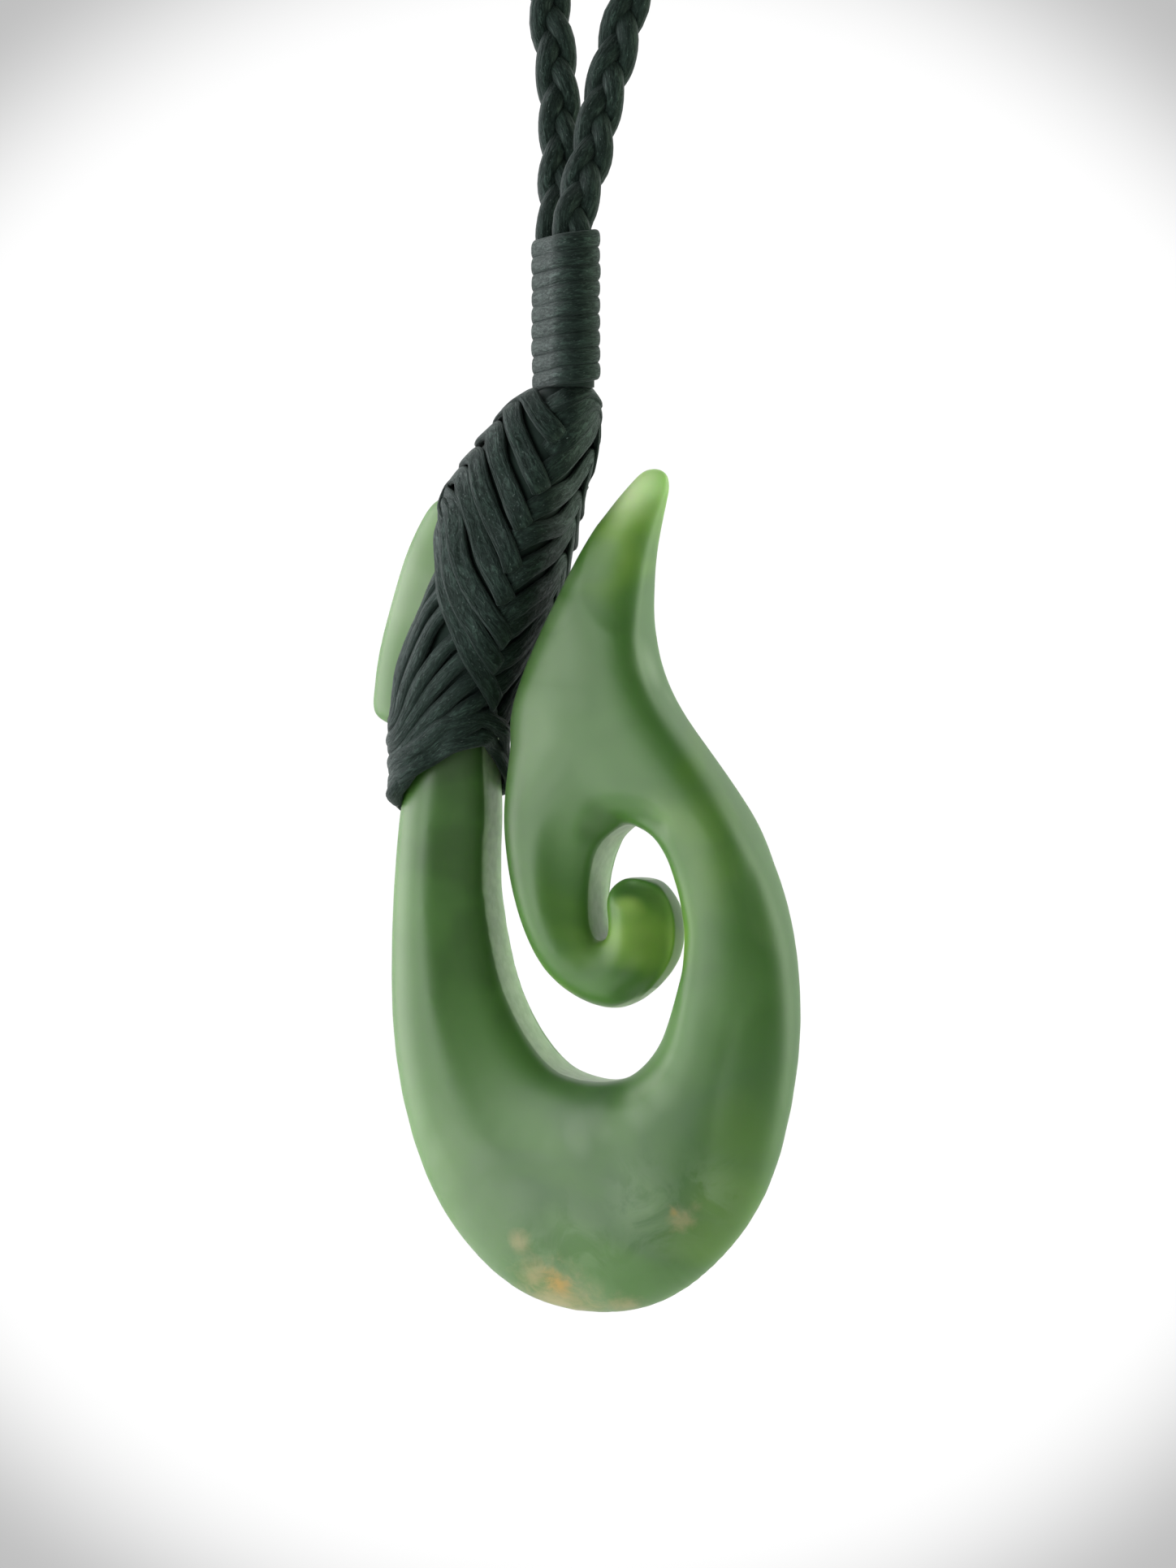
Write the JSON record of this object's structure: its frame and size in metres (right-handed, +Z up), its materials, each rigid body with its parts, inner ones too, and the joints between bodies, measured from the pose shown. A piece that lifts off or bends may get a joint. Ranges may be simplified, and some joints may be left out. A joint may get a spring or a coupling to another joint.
{
  "type": "hei matau pendant",
  "caption": "Carved green stone fish-hook pendant with an inner curl, bound at its head in black waxed cord and hung from a loop of plaited neck cord.",
  "frame": {"origin": "where the neck cord rests on the back of the neck, on the side of the cord that touches the neck", "axes": "+Z up, the pendant's front faces -Y, and +X runs to the wearer's left, across the front from the shank of the hook to its bend"},
  "size_m": [0.1122, 0.133, 0.3529],
  "materials": {
    "jade": "satin polish",
    "binding_cord": "waxed",
    "neck_cord": "waxed"
  },
  "bodies": {
    "root": {"hook_stone": "jade", "binding": "binding_cord", "whipping": "binding_cord", "plait_left": "neck_cord", "plait_right": "neck_cord"}
  },
  "joints": []
}
